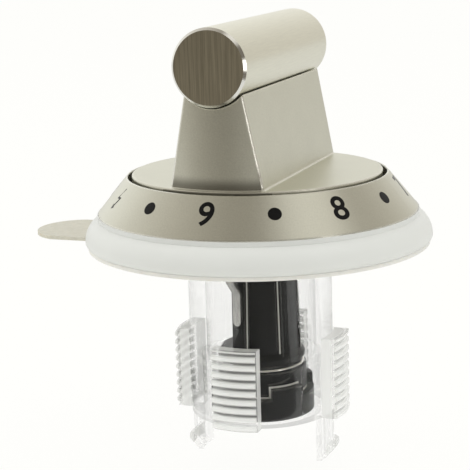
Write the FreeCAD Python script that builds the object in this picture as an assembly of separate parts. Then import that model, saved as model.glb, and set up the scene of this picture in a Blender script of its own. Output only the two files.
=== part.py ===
import FreeCAD, Part
import math
import os

# Hob selector knob: a push-and-turn knob with a round grip bar, a fixed scale ring,
# a light ring and a clear mounting sleeve that passes through the panel.
# Lengths are in millimetres and angles in degrees.
# The knob turns about +Z. The panel's top face is at height zero.
# The bar's front end points along -Y, where azimuth is zero; azimuth grows towards +X.

# Movement. Marks are counted both ways from the one in front of the bar at rest
push_travel = 2.5
push_reserve = 0.2
scale_positions = 14
marks_before_count = 3
marks_after_count = 10
stop_reserve_angle = 0.5

# Clearances
running_clearance = 0.05
seat_clearance = 0.02
leaf_clearance = 0.3
moulding_clearance = 0.3
knob_gap = 0.8

# Cutting shapes run past the faces they cut, and roots run into what they join, by this
cut_reach = 1.0

# Grip bar
bar_diameter = 13.9
bar_overhang = 0.1
bar_lift = 21.65
bar_chamfer = 0.45
bar_screw_end_margin = 9.05
bar_screw_engagement = 5.5

# Knob body: disc, pedestal and boss in one casting
disc_rise = 0.2
disc_rim_height = 3.6
disc_wall = 2.2
disc_rim_width = 3.2
disc_edge_round = 0.3
pedestal_foot_margin = 0.65
pedestal_end_lean = 0.5
pedestal_base_width = 17.6
pedestal_draft = 11.2
pedestal_corner_round = 0.5
pedestal_foot_round = 0.3
saddle_gap = 0.3
saddle_seat_width = 6.4
core_pocket_width = 8.4
core_pocket_length = 11.0
bar_screw_seat_depth = 6.5
boss_wall = 6.0

# Light ring and scale ring
light_ring_height = 5.7
light_ring_widest = 0.8
light_ring_swell = 2.5
light_ring_neck_height = 0.9
light_ring_neck_margin = 0.1
light_ring_foot_inset = 0.6
light_ring_bow = 0.63
light_ring_foot_bow = 0.17
light_ring_neck_wall = 2.0
light_ring_lip_width = 1.9
light_ring_lip_height = 1.2
scale_ring_spread = 5.9
scale_ring_height = 7.2
scale_ring_wall = 1.3
scale_ring_lip_soft = 0.35

# Panel seal
seal_thickness = 0.7
seal_inset = 0.5
seal_thread_gap = 0.5
tongue_width = 16.0
tongue_length = 13.8
tongue_end_height = 5.9

# Mounting sleeve
flange_thickness = 1.7
tube_hub_gap = 2.2
tube_wall = 3.2
lower_wall = 2.2
lower_bore_depth = 11.3
tube_length = 35.4
ledge_depth = 4.4
ledge_thickness = 2.0
lug_count = 4
lug_length = 15.6
lug_width = 8.6
lug_height = 3.1
thread_pitch = 1.66
thread_depth = 0.9
thread_crest_width = 0.55
leg_length = 9.2
leg_width = 6.0
leg_thickness = 1.7
leg_slit = 0.8
barb_reach = 1.0
barb_height = 2.1
barb_shoulder = 1.0
barb_tip_inset = 0.8

# Ring carrier under the scale ring
carrier_floor = 1.5
carrier_boss_gap = 1.6
carrier_screw_count = 3
carrier_screw_azimuth = 30.0
carrier_boss_diameter = 5.4
carrier_boss_height = 3.0
carrier_boss_merge = 0.5
carrier_boss_cap = 0.8
carrier_lip_gap = 0.1
stop_gap = 0.5
stop_width = 3.0
stop_angle = 12.0
stop_lug_azimuth = 90.0
stop_rib_height = 5.0
stop_lug_height = 3.6
gasket_cord = 0.9

# Drive hub, from its spigot in the knob body down to the coupling teeth
hub_bore_margin = 0.7
spigot_wall = 1.8
spigot_engagement = 5.9
spigot_flat_depth = 1.0
hub_shoulder_step = 1.1
hub_taper_growth = 0.65
hub_barb_step = 0.65
hub_neck_step = 0.5
hub_groove_depth = 0.4
hub_collar_step = 0.7
hub_taper_length = 16.5
hub_barb_length = 1.7
hub_neck_length = 1.1
hub_ring_land = 0.7
hub_collar_length = 2.5
hub_web = 12.8
hub_flat_wall = 1.0
hub_flat_azimuth = -73.0
hub_screw_engagement = 8.0
hub_ring_wire = 0.7
hub_rib_count = 8
hub_rib_width = 0.6
hub_rib_height = 0.3
tooth_count = 4
tooth_angle = 40.0
tooth_azimuth = 50.0
tooth_height = 2.0
liner_thickness = 0.36

# Shaft adapter at the bottom of the hub
adapter_step = 1.4
adapter_height = 4.1
adapter_spigot_depth = 2.4
adapter_spigot_length = 4.2
shaft_diameter = 8.0
shaft_clearance = 0.05
shaft_easing = 0.35
shaft_flat_distance = 3.0
lead_in_length = 2.5
clip_thickness = 0.4
clip_width = 4.0
clip_bow = 0.5

# Springs, washers and seal
slip_washer_thickness = 0.8
slip_washer_inset = 0.4
slip_washer_gap = 1.6
seat_washer_thickness = 0.5
seat_washer_inset = 0.3
seat_washer_gap = 0.6
spring_inset = 1.3
spring_wire = 0.9
spring_turns = 3.0
leaf_thickness = 0.35
leaf_width = 1.7
leaf_length = 10.0
leaf_foot = 2.0
leaf_slope = 1.2
leaf_azimuth = -13.0
drip_seal_width = 2.4
drip_seal_thickness = 0.8
drip_lip_height = 2.6
drip_lip_thickness = 0.7

# Screws
m4_diameter = 4.0
m4_head_diameter = 7.0
m4_head_height = 2.8
m4_socket = 3.0
m4_socket_depth = 1.7
small_screw_diameter = 2.5
small_screw_head_diameter = 4.8
small_screw_head_height = 1.2

# Heights worked out from the sizes above
flange_bottom = seal_thickness
flange_top = flange_bottom + flange_thickness
scale_ring_foot = seal_thickness + light_ring_height
scale_ring_top = scale_ring_foot + scale_ring_height
disc_top = scale_ring_top + disc_rise
disc_bottom = disc_top - disc_rim_height
disc_ceiling = disc_top - disc_wall
bar_axis_height = disc_top + bar_lift
bar_bottom = bar_axis_height - bar_diameter / 2
slip_washer_bottom = flange_top + push_reserve + push_travel
boss_bottom = slip_washer_bottom + slip_washer_thickness
ledge_top = flange_top - ledge_depth
ledge_bottom = ledge_top - ledge_thickness
tube_end = flange_top - tube_length
lower_bore_top = tube_end + lower_bore_depth
lug_top = tube_end + lug_length
carrier_floor_top = flange_top + carrier_floor
carrier_boss_top = carrier_floor_top + carrier_boss_height
carrier_hole_top = carrier_boss_top - carrier_boss_cap
light_lip_top = flange_top + light_ring_lip_height
hub_shoulder = ledge_bottom - running_clearance
hub_taper_end = hub_shoulder - hub_taper_length
hub_barb_end = hub_taper_end - hub_barb_length
hub_neck_end = hub_barb_end - hub_neck_length
hub_ring_end = hub_neck_end - hub_ring_land
hub_tooth_root = hub_ring_end - hub_collar_length
tooth_gap = liner_thickness + 2 * seat_clearance
hub_end = hub_tooth_root - tooth_height
spigot_top = boss_bottom + spigot_engagement
hub_bore_top = spigot_top - hub_web
adapter_top = hub_end - tooth_gap
adapter_bottom = adapter_top - adapter_height
adapter_spigot_top = adapter_top + adapter_spigot_length
lead_in_top = adapter_bottom + lead_in_length

# Widths worked out from the sizes above, from the hub's bore outwards
hub_bore = m4_head_diameter + 2 * hub_bore_margin
spigot_diameter = hub_bore + 2 * spigot_wall
spigot_flat_width = spigot_diameter - 2 * spigot_flat_depth
hub_top_diameter = spigot_diameter + 2 * hub_shoulder_step
hub_taper_diameter = hub_top_diameter + 2 * hub_taper_growth
hub_barb_diameter = hub_taper_diameter + 2 * hub_barb_step
hub_neck_diameter = hub_barb_diameter - 2 * hub_neck_step
hub_ring_groove_diameter = hub_neck_diameter - 2 * hub_groove_depth
hub_collar_diameter = hub_neck_diameter + 2 * hub_collar_step
hub_flat_distance = hub_bore / 2 + hub_flat_wall
adapter_diameter = hub_collar_diameter + 2 * adapter_step
adapter_spigot_diameter = hub_collar_diameter - 2 * adapter_spigot_depth
shaft_bore = shaft_diameter + 2 * shaft_clearance
shaft_eased_bore = shaft_diameter + 2 * shaft_easing
shaft_flat_face = shaft_flat_distance + shaft_clearance
tube_bore = hub_barb_diameter + 2 * tube_hub_gap
tube_diameter = tube_bore + 2 * tube_wall
lower_bore = tube_diameter - 2 * lower_wall
thread_diameter = tube_diameter + 2 * lug_height
seat_washer_diameter = tube_bore - 2 * seat_washer_inset
seat_washer_bore = spigot_diameter + 2 * seat_washer_gap
spring_diameter = seat_washer_diameter - 2 * spring_inset
boss_diameter = spigot_diameter + 2 * boss_wall
slip_washer_diameter = boss_diameter - 2 * slip_washer_inset
slip_washer_bore = spigot_diameter + 2 * slip_washer_gap
carrier_bore = boss_diameter + 2 * carrier_boss_gap
stop_inner_diameter = carrier_bore + 2 * (drip_seal_width + stop_gap)
stop_outer_diameter = stop_inner_diameter + 2 * stop_width
carrier_screw_circle = stop_outer_diameter + carrier_boss_diameter + knob_gap
carrier_wall_bore = carrier_screw_circle + carrier_boss_diameter - 2 * carrier_boss_merge
scale_hole_diameter = carrier_wall_bore - 2 * leaf_clearance
disc_diameter = scale_hole_diameter - 2 * knob_gap
bar_length = disc_diameter + 2 * bar_overhang
pedestal_base_length = disc_diameter - 2 * pedestal_foot_margin
pedestal_top_length = pedestal_base_length - 2 * pedestal_end_lean
bar_screw_spacing = pedestal_top_length - 2 * bar_screw_end_margin
scale_ring_foot_diameter = scale_hole_diameter + 2 * scale_ring_spread
light_ring_bore = scale_ring_foot_diameter - 2 * light_ring_neck_wall
light_ring_neck_diameter = scale_ring_foot_diameter + 2 * light_ring_neck_margin
light_ring_diameter = light_ring_neck_diameter + 2 * light_ring_swell
flange_diameter = light_ring_bore - 2 * moulding_clearance
seal_diameter = light_ring_diameter - 2 * seal_inset
seal_bore = thread_diameter + 2 * seal_thread_gap
tongue_reach = seal_diameter / 2 + tongue_length

# Angle from one mark of the scale to the next
scale_pitch = 360.0 / scale_positions


def point(radius, height):
    return FreeCAD.Vector(radius, 0, height)


def turned(outline):
    """Solid of revolution about Z from straight runs and three-point arcs.

    The outline is a list of (radius, height) corners. A corner that is a pair of
    such points is an arc: its middle point and its end point.
    """
    edges = []
    here = point(*outline[0])
    for corner in outline[1:] + [outline[0]]:
        if isinstance(corner[0], tuple):
            middle, end = point(*corner[0]), point(*corner[1])
            edges.append(Part.Arc(here, middle, end).toShape())
        else:
            end = point(*corner)
            edges.append(Part.LineSegment(here, end).toShape())
        here = end
    face = Part.Face(Part.Wire(edges))
    return face.revolve(FreeCAD.Vector(0, 0, 0), FreeCAD.Vector(0, 0, 1), 360)


def bowed(start, end, bow):
    """Arc for an outline that stands out by the bow, to the right of its run."""
    run = end[0] - start[0]
    rise = end[1] - start[1]
    length = math.hypot(run, rise)
    middle_radius = (start[0] + end[0]) / 2 + bow * rise / length
    middle_height = (start[1] + end[1]) / 2 - bow * run / length
    return ((middle_radius, middle_height), end)


def softened(before, corner, after, reach):
    """Start point and arc that round a corner, touching both runs at the reach."""
    ways = []
    for end in (before, after):
        length = math.hypot(end[0] - corner[0], end[1] - corner[1])
        ways.append(((end[0] - corner[0]) / length, (end[1] - corner[1]) / length))
    half_angle = math.acos(ways[0][0] * ways[1][0] + ways[0][1] * ways[1][1]) / 2
    # Distance from the corner to the arc's middle, along the line that halves the corner
    inset = reach * (1 - math.sin(half_angle)) / math.cos(half_angle)
    halving = 2 * math.cos(half_angle)
    start, end = [(corner[0] + reach * way[0], corner[1] + reach * way[1]) for way in ways]
    middle = (corner[0] + inset * (ways[0][0] + ways[1][0]) / halving,
              corner[1] + inset * (ways[0][1] + ways[1][1]) / halving)
    return [start, (middle, end)]


def washer(outer_diameter, bore_diameter, bottom, thickness):
    outer = outer_diameter / 2
    inner = bore_diameter / 2
    top = bottom + thickness
    return turned([(inner, bottom), (outer, bottom), (outer, top), (inner, top)])


def cylinder(diameter, bottom, top, x=0.0, y=0.0):
    return Part.makeCylinder(diameter / 2, top - bottom, FreeCAD.Vector(x, y, bottom))


def block(width, depth, bottom, top, x=0.0, y=0.0):
    corner = FreeCAD.Vector(x - width / 2, y - depth / 2, bottom)
    return Part.makeBox(width, depth, top - bottom, corner)


def turned_to(shape, azimuth):
    copy = shape.copy()
    copy.rotate(FreeCAD.Vector(0, 0, 0), FreeCAD.Vector(0, 0, 1), azimuth)
    return copy


def sector(inner_diameter, outer_diameter, bottom, top, middle_azimuth, angle):
    """Part of a ring, with its middle at the given azimuth."""
    ring = Part.makeCylinder(outer_diameter / 2, top - bottom, FreeCAD.Vector(0, 0, bottom),
                             FreeCAD.Vector(0, 0, 1), angle)
    # A partial cylinder starts at +X, which is azimuth 90
    ring = turned_to(ring, middle_azimuth - angle / 2 - 90)
    return ring.cut(cylinder(inner_diameter, bottom - cut_reach, top + cut_reach))


def bar_screw_places():
    return [(0.0, side * bar_screw_spacing / 2) for side in (-1, 1)]


def carrier_screw_places():
    places = []
    for k in range(carrier_screw_count):
        azimuth = math.radians(360.0 * k / carrier_screw_count + carrier_screw_azimuth)
        radius = carrier_screw_circle / 2
        places.append((radius * math.sin(azimuth), -radius * math.cos(azimuth)))
    return places


def grip_bar():
    radius = bar_diameter / 2
    half = bar_length / 2
    bar = Part.makeCylinder(radius, bar_length, FreeCAD.Vector(0, -half, bar_axis_height),
                            FreeCAD.Vector(0, 1, 0))
    ends = [edge for edge in bar.Edges if edge.Closed]
    bar = bar.makeChamfer(bar_chamfer, ends)
    for x, y in bar_screw_places():
        hole_top = bar_bottom + bar_screw_engagement + moulding_clearance
        bar = bar.cut(cylinder(m4_diameter + 2 * seat_clearance, bar_bottom - cut_reach,
                               hole_top, x, y))
    return bar


def pedestal_wedge():
    """Long block whose sides lean inwards as they rise, with the draft of the casting."""
    slope = math.tan(math.radians(pedestal_draft))
    low = disc_ceiling
    high = bar_axis_height
    low_half = pedestal_base_width / 2 + (disc_top - low) * slope
    high_half = pedestal_base_width / 2 - (high - disc_top) * slope
    start = -disc_diameter
    corners = [(-low_half, low), (low_half, low), (high_half, high), (-high_half, high)]
    loop = [FreeCAD.Vector(x, start, z) for x, z in corners + corners[:1]]
    face = Part.Face(Part.makePolygon(loop))
    return face.extrude(FreeCAD.Vector(0, 2 * disc_diameter, 0))


def pedestal():
    """Turned cone with two tapered flat sides, hollowed on top for the bar."""
    rise = bar_axis_height - disc_top
    lean = pedestal_end_lean / rise
    base = pedestal_base_length / 2
    cone = turned([(0, disc_ceiling), (base + lean * disc_wall, disc_ceiling),
                   (base - lean * rise, bar_axis_height), (0, bar_axis_height)])
    block_shape = cone.common(pedestal_wedge())
    upright = [edge for edge in block_shape.Edges
               if edge.BoundBox.ZLength > rise / 2 and edge.BoundBox.YLength < rise / 2]
    block_shape = block_shape.makeFillet(pedestal_corner_round, upright)
    return block_shape.cut(bar_envelope(saddle_gap))


def bar_envelope(gap):
    length = 2 * disc_diameter
    return Part.makeCylinder(bar_diameter / 2 + gap, length,
                             FreeCAD.Vector(0, -length / 2, bar_axis_height),
                             FreeCAD.Vector(0, 1, 0))


def saddle_seat():
    """Narrow land along the pedestal's top that carries the bar."""
    length = pedestal_top_length - 2 * disc_rim_width
    land = block(saddle_seat_width, length, bar_bottom - 2 * saddle_gap, bar_axis_height)
    return land.cut(bar_envelope(seat_clearance))


def core_pocket(y):
    """Slot with round ends that cores the pedestal from below."""
    straight = core_pocket_length - core_pocket_width
    top = bar_bottom - bar_screw_seat_depth
    bottom = disc_bottom - cut_reach
    pocket = block(core_pocket_width, straight, bottom, top, 0, y)
    for side in (-1, 1):
        pocket = pocket.fuse(cylinder(core_pocket_width, bottom, top, 0, y + side * straight / 2))
    return pocket


def knob_body():
    rim = disc_diameter / 2
    rim_inner = rim - disc_rim_width
    boss = boss_diameter / 2
    edge = softened((rim, disc_bottom), (rim, disc_top), (0, disc_top), disc_edge_round)
    disc = turned([(0, boss_bottom), (boss, boss_bottom), (boss, disc_ceiling),
                   (rim_inner, disc_ceiling), (rim_inner, disc_bottom), (rim, disc_bottom)]
                  + edge + [(0, disc_top)])
    body = disc.fuse(pedestal()).removeSplitter()
    body = body.makeFillet(pedestal_foot_round, foot_edges(body))
    body = body.fuse(saddle_seat())
    body = body.fuse(stop_lug())
    for x, y in bar_screw_places():
        body = body.cut(core_pocket(y))
        body = body.cut(cylinder(m4_diameter + 2 * seat_clearance, disc_bottom,
                                 bar_axis_height, x, y))
    body = body.cut(spigot_form(running_clearance, spigot_top + running_clearance))
    screw_top = spigot_top + hub_screw_engagement + moulding_clearance
    body = body.cut(cylinder(m4_diameter + 2 * seat_clearance, boss_bottom, screw_top))
    return body.removeSplitter()


def foot_edges(body):
    """Edges where the pedestal meets the disc's flat top."""
    reach = disc_diameter / 2 - disc_edge_round - seat_clearance
    found = []
    for edge in body.Edges:
        box = edge.BoundBox
        level = max(abs(box.ZMin - disc_top), abs(box.ZMax - disc_top)) < seat_clearance
        if level and box.XMax < reach and box.XMin > -reach:
            found.append(edge)
    return found


def stop_lug():
    """Lug under the disc that meets the carrier's rib at both ends of the turn."""
    bottom = disc_ceiling - stop_lug_height
    return sector(stop_inner_diameter, stop_outer_diameter, bottom,
                  disc_ceiling + disc_wall / 2, stop_lug_azimuth, stop_angle)


def spigot_form(gap, top):
    """Double-flatted spigot that carries the turn from the knob body to the hub."""
    bottom = boss_bottom
    round_part = cylinder(spigot_diameter + 2 * gap, bottom, top)
    flats = block(spigot_flat_width + 2 * gap, 2 * spigot_diameter, bottom, top)
    return round_part.common(flats)


def hub_outline():
    spigot = spigot_diameter / 2
    return [(0, boss_bottom), (spigot, boss_bottom), (spigot, hub_shoulder),
            (hub_top_diameter / 2, hub_shoulder), (hub_taper_diameter / 2, hub_taper_end),
            (hub_barb_diameter / 2, hub_barb_end + hub_barb_length / 3),
            (hub_barb_diameter / 2, hub_barb_end), (hub_neck_diameter / 2, hub_barb_end),
            (hub_neck_diameter / 2, hub_neck_end),
            (hub_ring_groove_diameter / 2, hub_neck_end),
            (hub_ring_groove_diameter / 2, hub_ring_end),
            (hub_collar_diameter / 2, hub_ring_end), (hub_collar_diameter / 2, hub_end),
            (0, hub_end)]


def hub_rib(azimuth):
    """Thin upright rib that follows the hub's taper."""
    top = hub_top_diameter / 2
    low = hub_taper_diameter / 2
    corners = [(top - cut_reach, hub_shoulder), (top + hub_rib_height, hub_shoulder),
               (low + hub_rib_height, hub_taper_end), (low - cut_reach, hub_taper_end)]
    loop = [FreeCAD.Vector(r, -hub_rib_width / 2, z) for r, z in corners + corners[:1]]
    rib = Part.Face(Part.makePolygon(loop)).extrude(FreeCAD.Vector(0, hub_rib_width, 0))
    return turned_to(rib, azimuth)


def drive_hub():
    hub = turned(hub_outline())
    hub = hub.fuse(spigot_form(0.0, spigot_top))
    for k in range(hub_rib_count):
        hub = hub.fuse(hub_rib(360.0 * k / hub_rib_count))
    hub = hub.cut(hub_flat())
    hub = hub.cut(cylinder(hub_bore, hub_end - cut_reach, hub_bore_top))
    hub = hub.cut(cylinder(m4_diameter + 2 * seat_clearance, hub_bore_top - cut_reach,
                           spigot_top + cut_reach))
    recess_top = adapter_spigot_top + moulding_clearance
    recess = adapter_spigot_diameter + 2 * seat_clearance
    hub = hub.cut(cylinder(recess, hub_end - cut_reach, recess_top))
    for azimuth in tooth_azimuths():
        hub = hub.cut(sector(hub_bore / 2, hub_barb_diameter + 2 * cut_reach,
                             hub_end - cut_reach, hub_tooth_root, azimuth,
                             tooth_angle + 2 * angle_of(tooth_gap)))
    return hub.removeSplitter()


def hub_flat():
    """Cutter for the one long flat down the hub's taper."""
    cutter = block(hub_barb_diameter, hub_barb_diameter, hub_taper_end, hub_shoulder,
                   0, -hub_flat_distance - hub_barb_diameter / 2)
    return turned_to(cutter, hub_flat_azimuth)


def tooth_azimuths():
    return [tooth_azimuth + 360.0 * k / tooth_count for k in range(tooth_count)]


def angle_of(width):
    """Angle that a width takes up on the hub's collar."""
    return math.degrees(width / (hub_collar_diameter / 2))


def coupling_liner():
    """Pale castellated ring that lines the gap between the hub's and the adapter's teeth."""
    bore = adapter_spigot_diameter + 2 * moulding_clearance
    low = adapter_top + seat_clearance
    liner = washer(hub_collar_diameter, bore, low, liner_thickness)
    for azimuth in tooth_azimuths():
        liner = liner.fuse(sector(bore, hub_collar_diameter, low, hub_tooth_root - seat_clearance,
                                  azimuth, tooth_angle + 2 * angle_of(tooth_gap - seat_clearance)))
    for azimuth in tooth_azimuths():
        liner = liner.cut(sector(bore - cut_reach, hub_collar_diameter + cut_reach,
                                 adapter_top - cut_reach, hub_tooth_root - tooth_gap + seat_clearance,
                                 azimuth, tooth_angle + 2 * angle_of(seat_clearance)))
    return liner.removeSplitter()


def hub_ring():
    """Round wire ring that clamps the hub's end in its groove."""
    middle = (hub_neck_end + hub_ring_end) / 2
    radius = hub_ring_groove_diameter / 2 + hub_ring_wire / 2 + seat_clearance
    ring = Part.makeTorus(radius, hub_ring_wire / 2, FreeCAD.Vector(0, 0, middle))
    return ring


def shaft_adapter():
    outer = adapter_diameter / 2
    spigot = adapter_spigot_diameter / 2
    body = turned([(0, adapter_bottom), (outer, adapter_bottom), (outer, adapter_top),
                   (spigot, adapter_top), (spigot, adapter_spigot_top), (0, adapter_spigot_top)])
    for azimuth in tooth_azimuths():
        body = body.fuse(sector(adapter_spigot_diameter - cut_reach, adapter_diameter,
                                adapter_top - tooth_height / 2, hub_tooth_root - tooth_gap,
                                azimuth, tooth_angle))
    body = body.cut(shaft_form())
    body = body.cut(clip_pocket())
    return body.removeSplitter()


def shaft_form():
    """Room for the shaft: a close round mouth, then an eased hole with a flat."""
    mouth = cylinder(shaft_bore, adapter_bottom - cut_reach, lead_in_top)
    eased = cylinder(shaft_eased_bore, lead_in_top, adapter_spigot_top + cut_reach)
    flat = block(shaft_eased_bore, 2 * shaft_eased_bore, lead_in_top,
                 adapter_spigot_top + 2 * cut_reach, -(shaft_flat_face + shaft_eased_bore / 2))
    return mouth.fuse(eased.cut(flat))


def clip_pocket():
    """Slot behind the shaft's flat for the clip."""
    depth = clip_thickness + clip_bow + 2 * seat_clearance
    return block(2 * depth, clip_width + 2 * seat_clearance, lead_in_top,
                 adapter_spigot_top + cut_reach, -shaft_flat_face)


def shaft_clip():
    """Bowed spring leaf that presses on the shaft's flat."""
    back = shaft_flat_face + clip_bow + clip_thickness
    bottom = lead_in_top + seat_clearance
    top = adapter_spigot_top - moulding_clearance
    middle = (bottom + top) / 2
    outer_bow = [FreeCAD.Vector(-back, 0, bottom), FreeCAD.Vector(-back + clip_bow, 0, middle),
                 FreeCAD.Vector(-back, 0, top)]
    inner_bow = [FreeCAD.Vector(p.x + clip_thickness, 0, p.z) for p in reversed(outer_bow)]
    edges = [Part.Arc(*outer_bow).toShape(),
             Part.LineSegment(outer_bow[2], inner_bow[0]).toShape(),
             Part.Arc(*inner_bow).toShape(),
             Part.LineSegment(inner_bow[2], outer_bow[0]).toShape()]
    face_shape = Part.Face(Part.Wire(edges))
    face_shape.translate(FreeCAD.Vector(0, -clip_width / 2, 0))
    return face_shape.extrude(FreeCAD.Vector(0, clip_width, 0))


def cap_screw(head_bottom, tip, x, y):
    """Screw with a round socket head, pushed in from below."""
    shank = cylinder(m4_diameter, head_bottom, tip, x, y)
    head = cylinder(m4_head_diameter, head_bottom, head_bottom + m4_head_height, x, y)
    corner_radius = m4_socket / 2 / math.cos(math.radians(30))
    corners = []
    for k in range(7):
        angle = math.radians(60 * k)
        corners.append(FreeCAD.Vector(x + corner_radius * math.cos(angle),
                                      y + corner_radius * math.sin(angle), head_bottom))
    hexagon = Part.Face(Part.makePolygon(corners))
    hollow = hexagon.extrude(FreeCAD.Vector(0, 0, m4_socket_depth))
    return shank.fuse(head).cut(hollow).removeSplitter()


def bar_screws():
    seat = bar_bottom - bar_screw_seat_depth
    tip = bar_bottom + bar_screw_engagement
    screws = [cap_screw(seat - m4_head_height, tip, x, y) for x, y in bar_screw_places()]
    return Part.makeCompound(screws)


def hub_screw():
    tip = spigot_top + hub_screw_engagement
    return cap_screw(hub_bore_top - m4_head_height, tip, 0, 0)


def light_ring():
    """Opal ring: a short neck under the scale ring, then a soft bulge down to the seal."""
    bottom = seal_thickness
    top = bottom + light_ring_height
    wide = light_ring_diameter / 2
    neck = light_ring_neck_diameter / 2
    bore = light_ring_bore / 2
    lip = bore - light_ring_lip_width
    neck_low = top - light_ring_neck_height
    widest = bottom + light_ring_widest
    foot = wide - light_ring_foot_inset
    edge = bowed((foot, bottom), (wide, widest), light_ring_foot_bow)
    bulge = bowed((wide, widest), (neck, neck_low), light_ring_bow)
    return turned([(bore, bottom), (foot, bottom), edge, bulge, (neck, top), (bore, top),
                   (bore, light_lip_top), (lip, light_lip_top),
                   (lip, flange_top + seat_clearance), (bore, flange_top + seat_clearance)])


def scale_ring():
    """Conical ring with a rolled lip round the knob's disc."""
    foot = scale_ring_foot_diameter / 2
    hole = scale_hole_diameter / 2
    run = foot - hole
    length = math.hypot(run, scale_ring_height)
    shift = scale_ring_wall * length / scale_ring_height
    drop = scale_ring_wall * length / run
    inner_end = (hole, scale_ring_top - drop)
    lip = softened((foot, scale_ring_foot), (hole, scale_ring_top), inner_end, scale_ring_lip_soft)
    return turned([(foot - shift, scale_ring_foot), (foot, scale_ring_foot)] + lip + [inner_end])


def bezel_carrier():
    """Black ring on the sleeve's flange that carries the scale ring's cone from inside."""
    foot = scale_ring_foot_diameter / 2
    hole = scale_hole_diameter / 2
    run = foot - hole
    length = math.hypot(run, scale_ring_height)
    slope = run / scale_ring_height
    shift = scale_ring_wall * length / scale_ring_height + seat_clearance
    outer = light_ring_bore / 2 - moulding_clearance / 2
    wall = carrier_wall_bore / 2
    low = light_lip_top + carrier_lip_gap
    inner_low = light_ring_bore / 2 - light_ring_lip_width - moulding_clearance / 2
    outer_top = scale_ring_foot + (foot - shift - outer) / slope
    wall_top = scale_ring_foot + (foot - shift - wall) / slope
    groove_in = gasket_middle_radius() - gasket_cord / 2 - seat_clearance
    groove_out = gasket_middle_radius() + gasket_cord / 2 + seat_clearance
    groove_top = light_lip_top + gasket_cord
    carrier = turned([(carrier_bore / 2, flange_top), (inner_low, flange_top), (inner_low, low),
                      (groove_in, low), (groove_in, groove_top), (groove_out, groove_top),
                      (groove_out, low), (outer, low), (outer, outer_top), (wall, wall_top),
                      (wall, carrier_floor_top), (carrier_bore / 2, carrier_floor_top)])
    for x, y in carrier_screw_places():
        carrier = carrier.fuse(cylinder(carrier_boss_diameter, flange_top + carrier_floor / 2,
                                        carrier_boss_top, x, y))
    carrier = carrier.fuse(stop_rib())
    for x, y in carrier_screw_places():
        carrier = carrier.cut(cylinder(small_screw_diameter + 2 * seat_clearance,
                                       flange_top - cut_reach, carrier_hole_top, x, y))
    return carrier.removeSplitter()


def stop_rib():
    """Rib on the carrier's floor that limits the turn to the scale's ends."""
    marks_free = scale_positions - marks_after_count - marks_before_count
    rib_angle = scale_pitch * marks_free - stop_angle - 2 * stop_reserve_angle
    middle_turn = (marks_after_count - marks_before_count) / 2 * scale_pitch
    half_turn = scale_positions / 2 * scale_pitch
    middle = stop_lug_azimuth + middle_turn + half_turn
    return sector(stop_inner_diameter, stop_outer_diameter, flange_top + carrier_floor / 2,
                  carrier_floor_top + stop_rib_height, middle, rib_angle)


def gasket_middle_radius():
    return light_ring_bore / 2 - light_ring_lip_width / 2


def ring_gasket():
    """Round cord ring that seals the carrier against the light ring's lip."""
    middle = light_lip_top + gasket_cord / 2
    return Part.makeTorus(gasket_middle_radius(), gasket_cord / 2, FreeCAD.Vector(0, 0, middle))


def carrier_screws():
    """Countersunk screws up through the sleeve's flange into the carrier's bosses."""
    tip = carrier_hole_top - moulding_clearance
    low = flange_bottom + seat_clearance
    screws = []
    for x, y in carrier_screw_places():
        head = Part.makeCone(small_screw_head_diameter / 2, small_screw_diameter / 2,
                             small_screw_head_height, FreeCAD.Vector(x, y, low))
        screws.append(head.fuse(cylinder(small_screw_diameter, low, tip, x, y)).removeSplitter())
    return Part.makeCompound(screws)


def panel_seal():
    """Thin soft ring under the light ring, with a pull tongue towards -X."""
    ring = cylinder(seal_diameter, 0, seal_thickness)
    half = tongue_width / 2
    root = -(seal_diameter + seal_bore) / 4
    shoulder = -(tongue_reach - tongue_end_height)
    corners = [FreeCAD.Vector(root, -half, 0), FreeCAD.Vector(shoulder, -half, 0),
               FreeCAD.Vector(-tongue_reach, 0, 0), FreeCAD.Vector(shoulder, half, 0),
               FreeCAD.Vector(root, half, 0)]
    edges = [Part.LineSegment(corners[0], corners[1]).toShape(),
             Part.Arc(corners[1], corners[2], corners[3]).toShape(),
             Part.LineSegment(corners[3], corners[4]).toShape(),
             Part.LineSegment(corners[4], corners[0]).toShape()]
    tongue = Part.Face(Part.Wire(edges)).extrude(FreeCAD.Vector(0, 0, seal_thickness))
    seal = ring.fuse(tongue)
    hole = cylinder(seal_bore, -cut_reach, seal_thickness + cut_reach)
    return seal.cut(hole).removeSplitter()


def thread_lug(k):
    """One quarter of the sleeve's thread: rings of teeth, moved down as the helix runs."""
    root = thread_diameter / 2 - thread_depth
    crest = thread_diameter / 2
    core = tube_diameter / 2 - cut_reach
    start = tube_end - thread_pitch * (1 + k / lug_count)
    outline = [(core, start), (root, start)]
    low = start
    while low < lug_top:
        middle = low + thread_pitch / 2
        outline.append((crest, middle - thread_crest_width / 2))
        outline.append((crest, middle + thread_crest_width / 2))
        low = low + thread_pitch
        outline.append((root, low))
    outline.append((core, outline[-1][1]))
    rings = turned(outline)
    reach = thread_diameter
    window = block(lug_width, reach, tube_end, lug_top, 0, -reach / 2)
    return turned_to(rings.common(window), 360.0 * k / lug_count)


def snap_leg(azimuth):
    """Split leg below the tube, with an outward barb on its tip."""
    outer = tube_diameter / 2
    inner = outer - leg_thickness
    tip = tube_end - leg_length
    barb = outer + barb_reach
    low = tip + barb_height
    root = tube_end + cut_reach
    outline = [(inner, root), (inner, tip), (outer - barb_tip_inset, tip), (barb, low),
               (barb, low + barb_shoulder), (outer, low + barb_shoulder + barb_reach / 2),
               (outer, root)]
    reach = thread_diameter
    leg = turned(outline).common(block(leg_width, reach, tip, root, 0, -reach / 2))
    leg = leg.cut(block(leg_slit, reach, tip - cut_reach, tube_end - leg_slit, 0, -reach / 2))
    return turned_to(leg, azimuth)


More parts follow.
